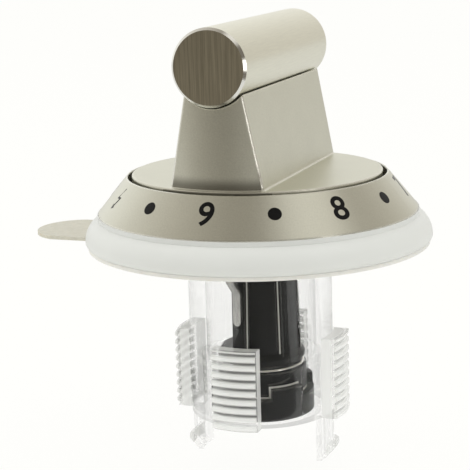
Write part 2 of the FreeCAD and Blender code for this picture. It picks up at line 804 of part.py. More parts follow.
def mounting_sleeve():
    """Clear moulding: flange, tube with a bearing ledge, four threaded lugs, two legs."""
    flange = flange_diameter / 2
    outer = tube_diameter / 2
    bore = tube_bore / 2
    lower = lower_bore / 2
    ledge = spigot_diameter / 2 + running_clearance
    sleeve = turned([(bore, flange_top), (bore, ledge_top), (ledge, ledge_top),
                     (ledge, ledge_bottom), (bore, ledge_bottom), (bore, lower_bore_top),
                     (lower, lower_bore_top), (lower, tube_end), (outer, tube_end),
                     (outer, flange_bottom), (flange, flange_bottom), (flange, flange_top)])
    for k in range(lug_count):
        sleeve = sleeve.fuse(thread_lug(k))
    for side in (-1, 1):
        sleeve = sleeve.fuse(snap_leg(side * 90.0))
    hole = small_screw_diameter + 2 * seat_clearance
    head = small_screw_head_diameter / 2 + seat_clearance
    for x, y in carrier_screw_places():
        sleeve = sleeve.cut(cylinder(hole, flange_bottom - cut_reach, flange_top + cut_reach, x, y))
        sleeve = sleeve.cut(Part.makeCone(head, hole / 2, small_screw_head_height + seat_clearance,
                                          FreeCAD.Vector(x, y, flange_bottom)))
    return sleeve.removeSplitter()


def friction_spring():
    """Bent leaf under the ledge that steadies the hub, with a rounded free end."""
    fall = ledge_bottom - running_clearance
    tip = fall - leaf_length
    share = (hub_shoulder - tip) / hub_taper_length
    hub_there = hub_top_diameter + (hub_taper_diameter - hub_top_diameter) * share
    near = hub_there / 2 + hub_rib_height + leaf_clearance + leaf_thickness / 2
    wall = math.sqrt((tube_bore / 2) ** 2 - (leaf_width / 2) ** 2)
    far = wall - seat_clearance - leaf_thickness / 2
    knee = fall - leaf_foot
    elbow = knee - (far - near) * leaf_slope
    route = [(far, fall), (far, knee), (near, elbow), (near, tip)]
    leaf = None
    for (r0, z0), (r1, z1) in zip(route, route[1:]):
        run = math.hypot(r1 - r0, z1 - z0)
        piece = Part.makeBox(leaf_thickness, leaf_width, run,
                             FreeCAD.Vector(-leaf_thickness / 2, -leaf_width / 2, 0))
        piece.rotate(FreeCAD.Vector(0, 0, 0), FreeCAD.Vector(0, 1, 0),
                     math.degrees(math.atan2(r1 - r0, z1 - z0)))
        piece.translate(FreeCAD.Vector(r0, 0, z0))
        bend = Part.makeCylinder(leaf_thickness / 2, leaf_width,
                                 FreeCAD.Vector(r1, -leaf_width / 2, z1), FreeCAD.Vector(0, 1, 0))
        piece = piece.fuse(bend)
        leaf = piece if leaf is None else leaf.fuse(piece)
    end = Part.makeCylinder(leaf_width / 2, 4 * leaf_width, FreeCAD.Vector(0, 0, tip),
                            FreeCAD.Vector(1, 0, 0))
    window = block(tube_bore, leaf_width, tip, fall, tube_bore / 2, 0).fuse(end)
    leaf = leaf.common(window).fuse(round_end(near, tip))
    return turned_to(leaf.removeSplitter(), leaf_azimuth - 90)


def round_end(radius, height):
    """Half-round end of the leaf, as broad as the leaf."""
    disc = Part.makeCylinder(leaf_width / 2, leaf_thickness,
                             FreeCAD.Vector(radius - leaf_thickness / 2, 0, height),
                             FreeCAD.Vector(1, 0, 0))
    return disc


def slip_washer():
    return washer(slip_washer_diameter, slip_washer_bore, slip_washer_bottom,
                  slip_washer_thickness - running_clearance)


def spring_seat():
    return washer(seat_washer_diameter, seat_washer_bore, ledge_top, seat_washer_thickness)


def return_spring():
    """Coil spring with its ends ground flat."""
    bottom = ledge_top + seat_washer_thickness
    top = slip_washer_bottom
    height = top - bottom
    radius = spring_diameter / 2
    pitch = height / spring_turns
    helix = Part.makeHelix(pitch, height, radius)
    helix.translate(FreeCAD.Vector(0, 0, bottom))
    start = FreeCAD.Vector(radius, 0, bottom)
    rise = FreeCAD.Vector(0, 2 * math.pi * radius, pitch)
    section = Part.Wire(Part.makeCircle(spring_wire / 2, start, rise))
    coil = Part.Wire(helix.Edges).makePipeShell([section], True, True)
    return coil.common(block(4 * radius, 4 * radius, bottom + seat_clearance, top - seat_clearance))


def drip_seal():
    """Soft ring on the carrier's inner edge, with a lip that stands up round the boss."""
    hold = carrier_bore / 2
    lip_in = boss_diameter / 2 + leaf_clearance
    lip_out = lip_in + drip_lip_thickness
    base_top = carrier_floor_top + drip_seal_thickness
    lip_top = base_top + drip_lip_height
    low = flange_top + seat_clearance
    skirt = hold - seat_clearance
    return turned([(lip_in, low), (skirt, low), (skirt, carrier_floor_top),
                   (hold + drip_seal_width, carrier_floor_top),
                   (hold + drip_seal_width, base_top), (lip_out, base_top),
                   (lip_out, lip_top), (lip_in, lip_top)])


SUB_PARTS = {
    "grip_bar": grip_bar,
    "bar_screws": bar_screws,
    "knob_body": knob_body,
    "drive_hub": drive_hub,
    "hub_screw": hub_screw,
    "hub_ring": hub_ring,
    "coupling_liner": coupling_liner,
    "shaft_adapter": shaft_adapter,
    "shaft_clip": shaft_clip,
    "slip_washer": slip_washer,
    "return_spring": return_spring,
    "spring_seat": spring_seat,
    "friction_spring": friction_spring,
    "drip_seal": drip_seal,
    "scale_ring": scale_ring,
    "bezel_carrier": bezel_carrier,
    "carrier_screws": carrier_screws,
    "ring_gasket": ring_gasket,
    "light_ring": light_ring,
    "mounting_sleeve": mounting_sleeve,
    "panel_seal": panel_seal,
}


def main():
    os.makedirs("parts", exist_ok=True)
    for name, make in SUB_PARTS.items():
        shape = make()
        shape.exportStep(os.path.join("parts", name + ".step"))
        box = shape.BoundBox
        print(name, len(shape.Solids), "solids, volume", round(shape.Volume, 2),
              "valid" if shape.isValid() else "NOT VALID",
              "z", round(box.ZMin, 2), round(box.ZMax, 2), "x", round(box.XMin, 2), round(box.XMax, 2))


main()
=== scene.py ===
import math

import bmesh
import bpy
from mathutils import Matrix, Vector


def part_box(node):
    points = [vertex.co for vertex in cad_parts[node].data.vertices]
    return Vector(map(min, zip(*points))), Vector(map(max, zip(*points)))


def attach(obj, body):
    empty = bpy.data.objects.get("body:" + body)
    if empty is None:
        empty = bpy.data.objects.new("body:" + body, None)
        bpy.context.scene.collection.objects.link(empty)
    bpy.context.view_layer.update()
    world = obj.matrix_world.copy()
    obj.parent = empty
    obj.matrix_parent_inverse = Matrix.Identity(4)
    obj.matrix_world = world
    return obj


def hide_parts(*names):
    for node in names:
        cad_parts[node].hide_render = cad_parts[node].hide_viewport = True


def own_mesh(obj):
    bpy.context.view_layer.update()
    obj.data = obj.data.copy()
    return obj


# Lengths are in metres. The knob turns about Z, the panel's top face is at height zero,
# and azimuth is zero at -Y, in front of the bar, and grows towards +X.
MM = 0.001

# Camera: a stills view of the whole part, nearly level with the scale ring
IMAGE_SIZE = 470
SENSOR_WIDTH = 36.0
FOCAL_PIXELS = 1497.4
CAMERA_DISTANCE = 286.1 * MM
CAMERA_ELEVATION = 12.19
CAMERA_AZIMUTH = 19.67
CAMERA_ROLL = 1.48
AIM_HEIGHT = 1.2 * MM
AIM_PIXEL = (258.8, 235.0)
CLIP_RANGE = (0.01, 20.0)

# Scale ring's cone: how far its hole clears the knob, and how high it rises
KNOB_GAP = 0.8 * MM
SCALE_RING_HEIGHT = 7.2 * MM

# Printed marks, evenly spaced round the ring. The first stands three steps to the left of
# the front, and all stand the same share of the way down the cone's slope.
MARKS = ("0", "bolt", "dot", "9", "dot", "8", "dot", "7", "6", "5", "4", "3", "2", "1")
FIRST_MARK = -3
MARK_SHARE = 0.426
MARK_HEIGHT = 4.75 * MM
MARK_LIFT = 0.02 * MM
MARK_SINK = 2 * MARK_LIFT
MARK_STRIP = 0.25 * MM
DOT_DIAMETER = 2.45 * MM
DOT_SIDES = 48

# Marks' lettering before it is scaled, in shares of its line height
LETTER_DEPTH = 0.05
LETTER_BOLDNESS = 0.016
LETTER_WELD = 1e-5

# Return spring: the closed share of its wire lies flat at either end
SPRING_TURNS = 3.0
SPRING_WIRE = 0.9 * MM
SPRING_DIAMETER = 18.0 * MM
SPRING_CLOSED_SHARE = 0.08
STEPS_PER_TURN = 40
WIRE_SIDES = 12

# How far a surface faces along the bar: little on a side, almost fully on an end, and
# something between on the pedestal's upright corners
SIDE_FACING = 0.4
END_FACING = 0.9
CORNER_FACING = (0.15, 0.88)

# Cast metal: how broadly an edge catches the light, the cosine between its softened and
# true normals where its painted highlight starts and where it is full, and that highlight's look
EDGE_SOFTNESS = 0.45 * MM
EDGE_COSINES = (0.999, 0.95)
EDGE_GLOSS = 0.18
EDGE_HIGHLIGHT_COLOUR = (0.97, 0.96, 0.88)

# Painted shade at the foot of the pedestal's ends
FOOT_SHADE = 0.7
FOOT_PAINTED_SHADE_COLOUR = (0.12, 0.11, 0.085)
FOOT_SHADE_LOW = 14.4 * MM
FOOT_SHADE_HIGH = 16.6 * MM

# Seal under the light ring: its tongue starts outside this radius
SEAL_RIM_RADIUS = 33.2 * MM

# Clear sleeve: its lugs stand outside the first radius, their thread between the others
LUG_ROOT_RADIUS = 14.0 * MM
THREAD_ROOT_RADIUS = 16.0 * MM
THREAD_CREST_RADIUS = 16.7 * MM
THREAD_BLEND = 0.15 * MM

# How solid the sleeve looks: walls straight on and edge on, then its lugs under the thread,
# in the thread's roots and on its crests
WALL_ALPHA = (0.08, 0.9)
WALL_STEEPNESS = 3.0
LUG_ALPHA = 0.75
ROOT_ALPHA = 0.3
CREST_ALPHA = 0.95
WALL_TRANSMISSION = 0.97
LUG_TRANSMISSION = 0.1

# Hub's taper, in radius over height, whose ribs carry a painted highlight
HUB_TOP_RADIUS = 7.1 * MM
HUB_TOP_HEIGHT = -4.05 * MM
HUB_TAPER_END = -20.5 * MM
HUB_TAPER = 0.65 / 16.5
RIB_SHOW = 0.15 * MM
RIB_LINE = 0.25 * MM
HUB_RIB_COUNT = 8
RIB_HIGHLIGHT_COLOUR = (0.5, 0.5, 0.46)

# Floor: its height, how far it reaches in front of the part and elsewhere, how much of it
# is its own glow, and how much less of that glow mirrors see
FLOOR_HEIGHT = -46.0 * MM
FLOOR_FRONT = 0.12
FLOOR_REACH = 3.0
FLOOR_GLOW = 0.95
FLOOR_MIRROR_DIM = -0.25

# White of the backdrop and the floor, and the warm shade that mirrors find in dim places
BACKDROP_COLOUR = (1.0, 0.998, 0.975)
SHADE_COLOUR = (1.0, 0.88, 0.70)

# What mirrors find round the part: bright behind it on the left, dim over the camera, with
# a soft glow above, a small one beside and a faint one in front. Azimuths count from the
# camera. Stops: lean towards the bright side, and brightness. Glows: azimuth, elevation and
# reach in degrees, and strength.
BRIGHT_AZIMUTH = -162.0
SKY_STOPS = [(-1.0, 0.13), (-0.4, 0.24), (0.0, 0.44), (0.55, 0.68), (0.92, 1.0)]
SKY_GLOWS = [(61.0, 59.0, 26.0, 0.6), (49.0, 0.0, 13.0, 2.4), (8.0, -10.0, 30.0, 0.3)]
GLOW_CORE_SHARE = 1 / 3

# Plain light from all round, and two lamps: azimuth and elevation in degrees, distance and
# size in metres, and power in watts
AMBIENT_LEVEL = 0.8
LAMPS = {
    "key": (80, 55, 0.7, 0.5, 1.2),
    "fill": (-80, 40, 0.8, 0.6, 1.5),
}


def add_object(name, data):
    """New object in the scene."""
    item = bpy.data.objects.new(name, data)
    bpy.context.scene.collection.objects.link(item)
    return item


def new_material(name):
    """Empty node material with its shader, ready for sockets and links."""
    material = bpy.data.materials.new(name)
    material.use_nodes = True
    return material, material.node_tree, material.node_tree.nodes["Principled BSDF"]


def colour_range(tree, factor, dark, light, low=0.3, high=0.7):
    """Colour that goes from dark to light while the factor goes from low to high."""
    ramp = tree.nodes.new("ShaderNodeValToRGB")
    ramp.color_ramp.elements[0].position = low
    ramp.color_ramp.elements[0].color = (*dark, 1)
    ramp.color_ramp.elements[1].position = high
    ramp.color_ramp.elements[1].color = (*light, 1)
    tree.links.new(factor, ramp.inputs["Fac"])
    return ramp.outputs["Color"]


def value_range(tree, factor, low, high):
    """Number that goes from low to high while the factor goes from zero to one."""
    spread = tree.nodes.new("ShaderNodeMapRange")
    spread.inputs["To Min"].default_value = low
    spread.inputs["To Max"].default_value = high
    tree.links.new(factor, spread.inputs["Value"])
    return spread.outputs["Result"]


def smooth_range(tree, value, start, end, low, high):
    """Smooth change from one level to another while the value goes from start to end."""
    result = value_range(tree, value, low, high)
    result.node.interpolation_type = "SMOOTHSTEP"
    result.node.inputs["From Min"].default_value = start
    result.node.inputs["From Max"].default_value = end
    return result


def object_noise(tree, scale, stretch=(1, 1, 1), detail=3.0, roughness=0.5):
    """Noise in the part's own space, drawn out along an axis where stretch is small."""
    place = tree.nodes.new("ShaderNodeTexCoord")
    mapping = tree.nodes.new("ShaderNodeMapping")
    mapping.inputs["Scale"].default_value = stretch
    noise = tree.nodes.new("ShaderNodeTexNoise")
    noise.inputs["Scale"].default_value = scale
    noise.inputs["Detail"].default_value = detail
    noise.inputs["Roughness"].default_value = roughness
    tree.links.new(place.outputs["Object"], mapping.inputs["Vector"])
    tree.links.new(mapping.outputs["Vector"], noise.inputs["Vector"])
    return noise.outputs["Fac"]


def bump(tree, shader, height, strength, distance, base=None):
    """Fine relief for the shader, laid over a base normal where one is given."""
    node = tree.nodes.new("ShaderNodeBump")
    node.inputs["Strength"].default_value = strength
    node.inputs["Distance"].default_value = distance
    tree.links.new(height, node.inputs["Height"])
    if base:
        tree.links.new(base, node.inputs["Normal"])
    tree.links.new(node.outputs["Normal"], shader.inputs["Normal"])


def calculate(tree, operation, first, second):
    """Result of a sum on an output and a number or another output."""
    node = tree.nodes.new("ShaderNodeMath")
    node.operation = operation
    tree.links.new(first, node.inputs[0])
    if isinstance(second, (int, float)):
        node.inputs[1].default_value = second
    else:
        tree.links.new(second, node.inputs[1])
    return node.outputs[0]


def all_of(tree, *shares):
    """Product of shares, which is one only where each of them is."""
    product = shares[0]
    for share in shares[1:]:
        product = calculate(tree, "MULTIPLY", product, share)
    return product


def mixed_colour(tree, share, first, second):
    """Colour that goes from the first to the second, each a tuple or an output."""
    node = tree.nodes.new("ShaderNodeMixRGB")
    tree.links.new(share, node.inputs["Fac"])
    for socket, colour in zip(("Color1", "Color2"), (first, second)):
        if isinstance(colour, tuple):
            node.inputs[socket].default_value = (*colour, 1)
        else:
            tree.links.new(colour, node.inputs[socket])
    return node.outputs["Color"]


def mixed_shader(tree, share, first, second):
    """Goes from the first shader to the second while the share goes from zero to one."""
    node = tree.nodes.new("ShaderNodeMixShader")
    tree.links.new(share, node.inputs["Fac"])
    tree.links.new(first, node.inputs[1])
    tree.links.new(second, node.inputs[2])
    return node.outputs[0]


def source_of(shader, name):
    """Output that feeds one of the shader's inputs so far."""
    return shader.inputs[name].links[0].from_socket


def place_on_part(tree):
    """Radius from the knob's axis, angle about it and height, in the part's own space."""
    place = tree.nodes.new("ShaderNodeTexCoord")
    split = tree.nodes.new("ShaderNodeSeparateXYZ")
    tree.links.new(place.outputs["Object"], split.inputs["Vector"])
    flat = tree.nodes.new("ShaderNodeCombineXYZ")
    for axis in ("X", "Y"):
        tree.links.new(split.outputs[axis], flat.inputs[axis])
    radius = tree.nodes.new("ShaderNodeVectorMath")
    radius.operation = "LENGTH"
    tree.links.new(flat.outputs["Vector"], radius.inputs[0])
    angle = calculate(tree, "ARCTAN2", split.outputs["Y"], split.outputs["X"])
    return radius.outputs["Value"], angle, split.outputs["Z"]


def facing_along_bar(tree):
    """How far the surface faces along the bar: zero on its side and one on its ends."""
    place = tree.nodes.new("ShaderNodeTexCoord")
    split = tree.nodes.new("ShaderNodeSeparateXYZ")
    tree.links.new(place.outputs["Normal"], split.inputs["Vector"])
    return calculate(tree, "ABSOLUTE", split.outputs["Y"], 0.0)


def bar_steel():
    """Steel bar: faint side lines, upright end lines over painted shade, painted highlight on
    polished chamfers.
    """
    material, tree, shader = new_material("bar_brushed")
    shader.inputs["Metallic"].default_value = 1.0
    facing = facing_along_bar(tree)
    on_ends = calculate(tree, "GREATER_THAN", facing, END_FACING)
    on_side = calculate(tree, "LESS_THAN", facing, SIDE_FACING)
    side_lines = object_noise(tree, 5200.0, stretch=(1, 0.05, 1), detail=4.0, roughness=0.6)
    end_lines = object_noise(tree, 3400.0, stretch=(1, 1, 0.02), detail=4.0, roughness=0.7)
    side_colour = colour_range(tree, side_lines, (0.80, 0.785, 0.67), (0.90, 0.885, 0.75), 0.2, 0.8)
    # Ends: real grinding lines, over a darker tone that is painted shade
    end_colour = colour_range(tree, end_lines, (0.32, 0.29, 0.22), (0.66, 0.61, 0.47), 0.25, 0.75)
    # Chamfers: polished, with a lighter colour than the side as a painted highlight
    rim_colour = mixed_colour(tree, on_side, (0.92, 0.91, 0.86), side_colour)
    tree.links.new(mixed_colour(tree, on_ends, rim_colour, end_colour), shader.inputs["Base Color"])
    matt = calculate(tree, "MAXIMUM", on_ends, on_side)
    tree.links.new(value_range(tree, matt, 0.14, 0.32), shader.inputs["Roughness"])
    bump(tree, shader, side_lines, 0.15, 0.02 * MM)
    return material


def blasted_metal(name, dark, light, roughness):
    """Cast metal with a fine, even, satin grain, and softened edges with a painted highlight."""
    material, tree, shader = new_material(name)
    shader.inputs["Metallic"].default_value = 1.0
    grain = object_noise(tree, 4200.0, detail=2.0, roughness=0.6)
    clouds = object_noise(tree, 160.0, detail=2.0)
    speckle = calculate(tree, "ADD", calculate(tree, "MULTIPLY", clouds, 0.25), grain)
    colour = colour_range(tree, speckle, dark, light, 0.35, 0.9)
    soft_edge = tree.nodes.new("ShaderNodeBevel")
    soft_edge.inputs["Radius"].default_value = EDGE_SOFTNESS
    edge = soft_edge.outputs["Normal"]
    # Painted highlight: sharp edges get a lighter colour and more gloss
    painted_highlight = painted_edge_highlight(tree, edge)
    tree.links.new(mixed_colour(tree, painted_highlight, colour, EDGE_HIGHLIGHT_COLOUR), shader.inputs["Base Color"])
    satin = value_range(tree, grain, roughness - 0.04, roughness + 0.06)
    gloss = calculate(tree, "MULTIPLY", painted_highlight, -EDGE_GLOSS)
    tree.links.new(calculate(tree, "ADD", satin, gloss), shader.inputs["Roughness"])
    bump(tree, shader, grain, 0.35, 0.03 * MM, base=edge)
    return material


def painted_edge_highlight(tree, edge):
    """Share for the painted highlight: one on sharp edges, where the softened normal turns away from
    the face's own.
    """
    shape = tree.nodes.new("ShaderNodeNewGeometry")
    turn = tree.nodes.new("ShaderNodeVectorMath")
    turn.operation = "DOT_PRODUCT"
    tree.links.new(edge, turn.inputs[0])
    tree.links.new(shape.outputs["Normal"], turn.inputs[1])
    return smooth_range(tree, turn.outputs["Value"], *EDGE_COSINES, 0.0, 1.0)


def knob_metal():
    """Cast knob: painted shade on the pedestal's ends near the foot, and a painted highlight on its
    upright corners.
    """
    material = blasted_metal("knob_cast", (0.70, 0.695, 0.595), (0.82, 0.815, 0.70), 0.38)
    tree = material.node_tree
    shader = tree.nodes["Principled BSDF"]
    satin = source_of(shader, "Roughness")
    height = place_on_part(tree)[2]
    facing = facing_along_bar(tree)
    # Painted shade: the pedestal's ends darken towards the foot
    low = smooth_range(tree, height, FOOT_SHADE_LOW, FOOT_SHADE_HIGH, FOOT_SHADE, 0.0)
    foot = all_of(tree, low, calculate(tree, "GREATER_THAN", facing, END_FACING))
    with_painted_shade = mixed_colour(tree, foot, source_of(shader, "Base Color"), FOOT_PAINTED_SHADE_COLOUR)
    # Painted highlight: the pedestal's upright corners get a lighter colour and more gloss
    corner = all_of(tree, calculate(tree, "GREATER_THAN", facing, CORNER_FACING[0]),
                    calculate(tree, "LESS_THAN", facing, CORNER_FACING[1]),
                    calculate(tree, "GREATER_THAN", height, FOOT_SHADE_LOW))
    tree.links.new(mixed_colour(tree, corner, with_painted_shade, EDGE_HIGHLIGHT_COLOUR), shader.inputs["Base Color"])
    gloss = calculate(tree, "MULTIPLY", corner, -EDGE_GLOSS)
    tree.links.new(calculate(tree, "ADD", satin, gloss), shader.inputs["Roughness"])
    return material


def plain_steel(name, dark, light, roughness):
    """Bare steel with faint upright streaks."""
    material, tree, shader = new_material(name)
    shader.inputs["Metallic"].default_value = 1.0
    streaks = object_noise(tree, 1500.0, stretch=(1, 1, 0.2))
    tree.links.new(colour_range(tree, streaks, dark, light), shader.inputs["Base Color"])
    tree.links.new(value_range(tree, streaks, roughness - 0.04, roughness + 0.05),
                   shader.inputs["Roughness"])
    return material


def moulded_plastic(name, dark, light, roughness, specular=0.5):
    """Moulding with a fine grain in its colour, gloss and relief."""
    material, tree, shader = new_material(name)
    shader.inputs["Specular IOR Level"].default_value = specular
    grain = object_noise(tree, 1800.0, roughness=0.55)
    tree.links.new(colour_range(tree, grain, dark, light), shader.inputs["Base Color"])
    tree.links.new(value_range(tree, grain, roughness - 0.05, roughness + 0.08),
                   shader.inputs["Roughness"])
    bump(tree, shader, grain, 0.2, 0.01 * MM)
    return material


def hub_plastic():
    """Black moulding with a painted highlight along its upright ribs."""
    material = moulded_plastic("hub_moulding", (0.006, 0.006, 0.006), (0.014, 0.014, 0.013),
                               roughness=0.3, specular=0.2)
    tree = material.node_tree
    shader = tree.nodes["Principled BSDF"]
    radius, angle, height = place_on_part(tree)
    # The radius without the taper, so that one limit holds at every height
    taper = calculate(tree, "MULTIPLY", height, HUB_TAPER)
    straightened = calculate(tree, "ADD", radius, taper)
    limit = HUB_TOP_RADIUS + HUB_TOP_HEIGHT * HUB_TAPER + RIB_SHOW
    proud = calculate(tree, "GREATER_THAN", straightened, limit)
    above = calculate(tree, "GREATER_THAN", height, HUB_TAPER_END)
    off_middle = calculate(tree, "PINGPONG", angle, math.pi / HUB_RIB_COUNT)
    along = calculate(tree, "LESS_THAN", off_middle, RIB_LINE / 2 / HUB_TOP_RADIUS)
    # Painted highlight: pale lines along the crests of the ribs
    rib_highlights = all_of(tree, proud, above, along)
    painted_highlight = mixed_colour(tree, rib_highlights, source_of(shader, "Base Color"), RIB_HIGHLIGHT_COLOUR)
    tree.links.new(painted_highlight, shader.inputs["Base Color"])
    return material


def opal_plastic():
    """Milky diffuser: light scatters a little way under its satin face."""
    material, tree, shader = new_material("opal_diffuser")
    clouds = object_noise(tree, 120.0, detail=2.0)
    tree.links.new(colour_range(tree, clouds, (0.72, 0.73, 0.70), (0.735, 0.745, 0.715)),
                   shader.inputs["Base Color"])
    tree.links.new(value_range(tree, clouds, 0.36, 0.4), shader.inputs["Roughness"])
    shader.inputs["Subsurface Weight"].default_value = 0.35
    shader.inputs["Subsurface Radius"].default_value = (1.0, 1.0, 1.0)
    shader.inputs["Subsurface Scale"].default_value = 1.2 * MM
    return material


def clear_plastic():
    """Clear moulding: thin-looking walls, and milkier lugs whose thread roots are clear."""
    material, tree, shader = new_material("clear_moulding")
    radius = place_on_part(tree)[0]
    on_lugs = calculate(tree, "GREATER_THAN", radius, LUG_ROOT_RADIUS)
    tree.links.new(value_range(tree, on_lugs, WALL_TRANSMISSION, LUG_TRANSMISSION),
                   shader.inputs["Transmission Weight"])
    facing = tree.nodes.new("ShaderNodeLayerWeight")
    facing.inputs["Blend"].default_value = 0.5
    steep = calculate(tree, "POWER", facing.outputs["Facing"], WALL_STEEPNESS)
    wall = value_range(tree, steep, *WALL_ALPHA)
    below_thread = smooth_range(tree, radius, THREAD_ROOT_RADIUS - THREAD_BLEND, THREAD_ROOT_RADIUS,
                                LUG_ALPHA, ROOT_ALPHA)
    crest = smooth_range(tree, radius, THREAD_ROOT_RADIUS, THREAD_CREST_RADIUS, 0.0, CREST_ALPHA)
    lug = calculate(tree, "MAXIMUM", all_of(tree, on_lugs, below_thread), crest)
    tree.links.new(calculate(tree, "MAXIMUM", wall, lug), shader.inputs["Alpha"])
    shader.inputs["IOR"].default_value = 1.45
    flow = object_noise(tree, 260.0, stretch=(1, 1, 0.35), detail=2.0)
    tree.links.new(colour_range(tree, flow, (0.955, 0.965, 0.95), (0.99, 0.995, 0.985)),
                   shader.inputs["Base Color"])
    tree.links.new(value_range(tree, flow, 0.02, 0.06), shader.inputs["Roughness"])
    bump(tree, shader, flow, 0.05, 0.05 * MM)
    return material


def seal_rubber():
    """Pale soft seal, whose tongue outside the light ring is yellower."""
    material, tree, shader = new_material("soft_seal")
    clouds = object_noise(tree, 900.0, roughness=0.6)
    pale = colour_range(tree, clouds, (0.76, 0.75, 0.70), (0.82, 0.81, 0.76))
    aged = colour_range(tree, clouds, (0.57, 0.55, 0.46), (0.65, 0.63, 0.54))
    outside = calculate(tree, "GREATER_THAN", place_on_part(tree)[0], SEAL_RIM_RADIUS)
    tree.links.new(mixed_colour(tree, outside, pale, aged), shader.inputs["Base Color"])
    tree.links.new(value_range(tree, clouds, 0.5, 0.65), shader.inputs["Roughness"])
    shader.inputs["Subsurface Weight"].default_value = 0.2
    shader.inputs["Subsurface Radius"].default_value = (1.0, 0.9, 0.7)
    shader.inputs["Subsurface Scale"].default_value = 0.6 * MM
    bump(tree, shader, clouds, 0.3, 0.02 * MM)
    return material


def print_ink():
    """Dark matt ink that greys a little where it is seen at a slant."""
    material, tree, shader = new_material("printed_ink")
    clouds = object_noise(tree, 2500.0, detail=2.0)
    tree.links.new(colour_range(tree, clouds, (0.002, 0.002, 0.002), (0.006, 0.006, 0.006)),
                   shader.inputs["Base Color"])
    tree.links.new(value_range(tree, clouds, 0.4, 0.55), shader.inputs["Roughness"])
    shader.inputs["Specular IOR Level"].default_value = 0.15
    shader.inputs["Sheen Weight"].default_value = 0.6
    shader.inputs["Sheen Roughness"].default_value = 0.3
    return material


def dress(nodes):
    """Gives every node of the frame its finish."""
    finishes = {
        "grip_bar": bar_steel(),
        "knob_body": knob_metal(),
        "scale_ring": blasted_metal("ring_satin", (0.70, 0.695, 0.60), (0.80, 0.795, 0.69), 0.32),
        "light_ring": opal_plastic(),
        "panel_seal": seal_rubber(),
        "mounting_sleeve": clear_plastic(),
        "drive_hub": hub_plastic(),
        "hub_ring": plain_steel("ring_steel", (0.80, 0.79, 0.74), (0.90, 0.89, 0.84), 0.25),
        "coupling_liner": moulded_plastic("pale_liner", (0.74, 0.73, 0.67), (0.80, 0.79, 0.73), 0.5),
    }
    black = moulded_plastic("black_moulding", (0.008, 0.008, 0.008), (0.02, 0.02, 0.019),
                            roughness=0.3, specular=0.2)
    pale = moulded_plastic("pale_moulding", (0.62, 0.61, 0.57), (0.72, 0.71, 0.67), 0.4)
    soft = moulded_plastic("black_soft", (0.012, 0.012, 0.012), (0.03, 0.03, 0.029), 0.6)
    steel = plain_steel("spring_steel", (0.42, 0.42, 0.40), (0.62, 0.61, 0.58), 0.25)
    screws = plain_steel("screw_steel", (0.30, 0.30, 0.29), (0.48, 0.47, 0.45), 0.35)
    shared = {
        black: ("shaft_adapter", "bezel_carrier"),
        pale: ("slip_washer", "spring_seat"),
        soft: ("drip_seal", "ring_gasket"),
        steel: ("friction_spring", "shaft_clip", "return_spring"),
        screws: ("bar_screws", "hub_screw", "carrier_screws"),
    }
    for material, names in shared.items():
        for name in names:
            finishes[name] = material
    for name, material in finishes.items():
        node = nodes[name]
        node.data.materials.clear()
        node.data.materials.append(material)
    return finishes


def direction(azimuth, elevation):
    """Unit vector that leaves the part this way, both angles in degrees."""
    across, up = math.radians(azimuth), math.radians(elevation)
    return Vector((math.sin(across) * math.cos(up), -math.cos(across) * math.cos(up),
                   math.sin(up)))


def make_camera():
    """Camera at the photograph's viewing angle, turned off its aim by the aim pixel."""
    back = direction(CAMERA_AZIMUTH, CAMERA_ELEVATION)
    aim = Vector((0, 0, AIM_HEIGHT))
    forward = -back
    right = forward.cross(Vector((0, 0, 1))).normalized()
    up = right.cross(forward)
    yaw = math.atan((AIM_PIXEL[0] - IMAGE_SIZE / 2) / FOCAL_PIXELS)
    pitch = math.atan((AIM_PIXEL[1] - IMAGE_SIZE / 2) / FOCAL_PIXELS)
    turn = Matrix.Rotation(yaw, 3, up)
    forward, right = turn @ forward, turn @ right
    turn = Matrix.Rotation(pitch, 3, right)
    forward, up = turn @ forward, turn @ up
    turn = Matrix.Rotation(math.radians(CAMERA_ROLL), 3, forward)
    right, up = turn @ right, turn @ up
    data = bpy.data.cameras.new("camera")
    data.sensor_width = SENSOR_WIDTH
    data.lens = FOCAL_PIXELS / IMAGE_SIZE * SENSOR_WIDTH
    data.clip_start, data.clip_end = CLIP_RANGE
    camera = add_object("camera", data)
    axes = Matrix((right, up, -forward)).transposed()
    camera.matrix_world = Matrix.Translation(aim + back * CAMERA_DISTANCE) @ axes.to_4x4()
    bpy.context.scene.camera = camera


def light_path(tree, *kinds):
    """One where a ray is of any of these kinds, and zero elsewhere."""
    path = tree.nodes.new("ShaderNodeLightPath")
    seen = path.outputs[kinds[0]]
    for kind in kinds[1:]:
        seen = calculate(tree, "MAXIMUM", seen, path.outputs[kind])
    return seen


def floor_material():
    """Pale floor: mostly its own white for straight looks, so that a soft shadow is kept."""
    material, tree, shader = new_material("floor")
    shader.inputs["Base Color"].default_value = (*BACKDROP_COLOUR, 1)
    shader.inputs["Roughness"].default_value = 0.9
    shader.inputs["Specular IOR Level"].default_value = 0.0
    glow = tree.nodes.new("ShaderNodeEmission")
    glow.inputs["Color"].default_value = (*BACKDROP_COLOUR, 1)
    dimming = calculate(tree, "MULTIPLY", light_path(tree, "Is Glossy Ray"), FLOOR_MIRROR_DIM)
    tree.links.new(calculate(tree, "ADD", dimming, 1.0), glow.inputs["Strength"])
    seen = light_path(tree, "Is Camera Ray", "Is Glossy Ray", "Is Transmission Ray")
    share = calculate(tree, "MULTIPLY", seen, FLOOR_GLOW)
    mix = mixed_shader(tree, share, shader.outputs[0], glow.outputs[0])
    tree.links.new(mix, tree.nodes["Material Output"].inputs["Surface"])
    return material


